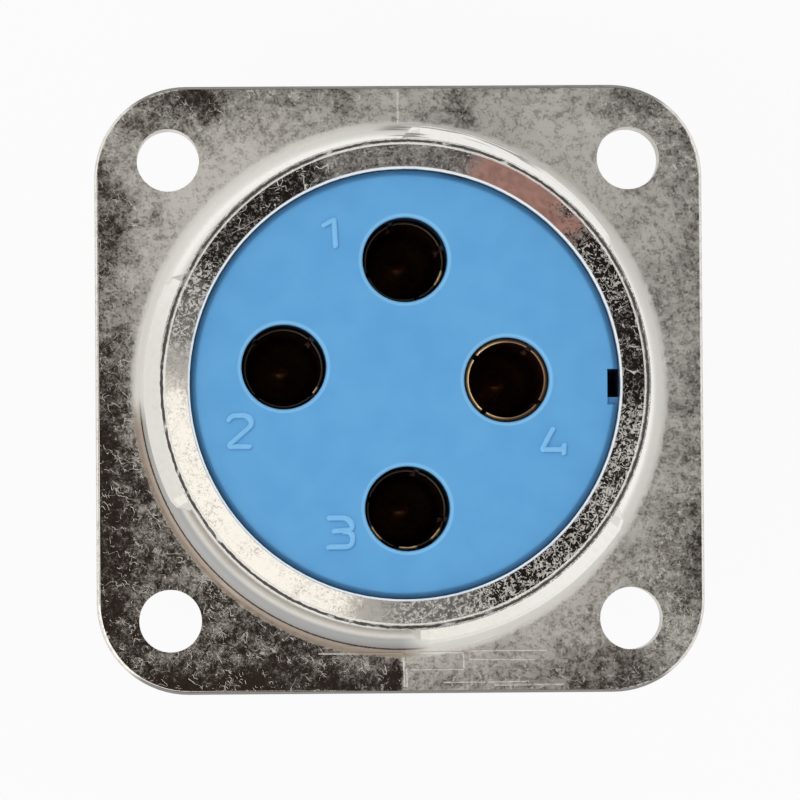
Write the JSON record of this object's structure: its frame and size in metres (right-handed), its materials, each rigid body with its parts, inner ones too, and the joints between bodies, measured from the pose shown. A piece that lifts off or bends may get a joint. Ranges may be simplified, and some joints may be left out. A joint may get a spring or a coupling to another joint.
{
  "type": "circular connector receptacle",
  "caption": "Square-flange panel receptacle of a circular power connector, with slotted socket contacts in a plastic insert and helical coupling ramps on its barrel.",
  "frame": {"origin": "centre of the four mounting holes, on the flange's rear face, which meets the panel", "axes": "+Z along the barrel's axis, out of the mating face; +X towards the keyway in the insert's edge; +Y towards contact 1"},
  "size_m": [0.033, 0.033, 0.0285],
  "materials": {
    "nickel_plate": "nickel plate on a zinc die casting, mottled and finely scratched",
    "blue_plastic": "light blue moulded thermoplastic, satin",
    "gold_plate": "gold plated machined brass",
    "spring_steel": "bright spring steel",
    "ring_steel": "phosphated spring steel, dark",
    "seal_rubber": "black silicone rubber"
  },
  "bodies": {
    "root": {"shell": "nickel_plate", "front_insert": "blue_plastic", "rear_insert": "blue_plastic", "seal_ring": "seal_rubber", "retaining_ring": "ring_steel", "contact_1": "gold_plate", "contact_2": "gold_plate", "contact_3": "gold_plate", "contact_4": "gold_plate", "contact_spring_1": "spring_steel", "contact_spring_2": "spring_steel", "contact_spring_3": "spring_steel", "contact_spring_4": "spring_steel"}
  },
  "joints": []
}
